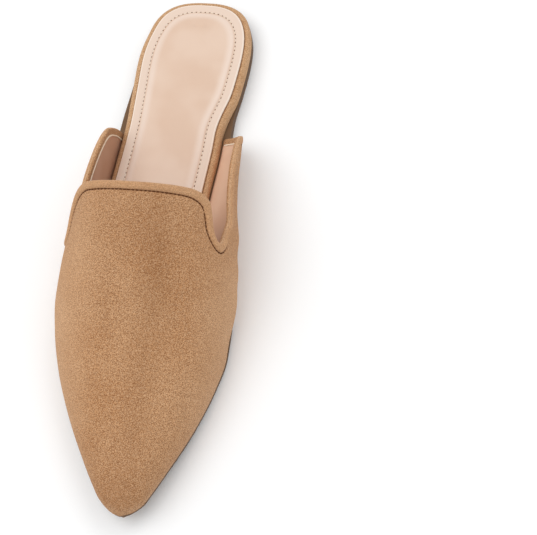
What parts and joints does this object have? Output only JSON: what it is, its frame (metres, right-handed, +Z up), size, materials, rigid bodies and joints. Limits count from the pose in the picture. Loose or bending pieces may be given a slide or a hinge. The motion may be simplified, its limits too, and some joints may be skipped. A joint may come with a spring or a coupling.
{
  "type": "pointed flat mule shoe",
  "caption": "Backless pointed flat mule for the right foot: hollow suede upper with tongue and low side quarters, padded sock, wrapped footbed and ribbed sole.",
  "frame": {"origin": "middle of the shoe's bounding box, on the floor", "axes": "+Y towards the heel, so the toe points along -Y; +X towards the wearer's inner (medial) side; +Z up"},
  "size_m": [0.084, 0.2684, 0.0785],
  "materials": {
    "sole_rubber": "matt moulded rubber with fine cross ribs",
    "suede_rim": "suede wrapped over the board's edge",
    "sock_leather": "soft satin lining leather, padded",
    "suede_upper": "tan suede with a fine nap"
  },
  "bodies": {
    "root": {"outsole": "sole_rubber", "footbed": "suede_rim", "sock": "sock_leather", "upper": "suede_upper"}
  },
  "joints": []
}
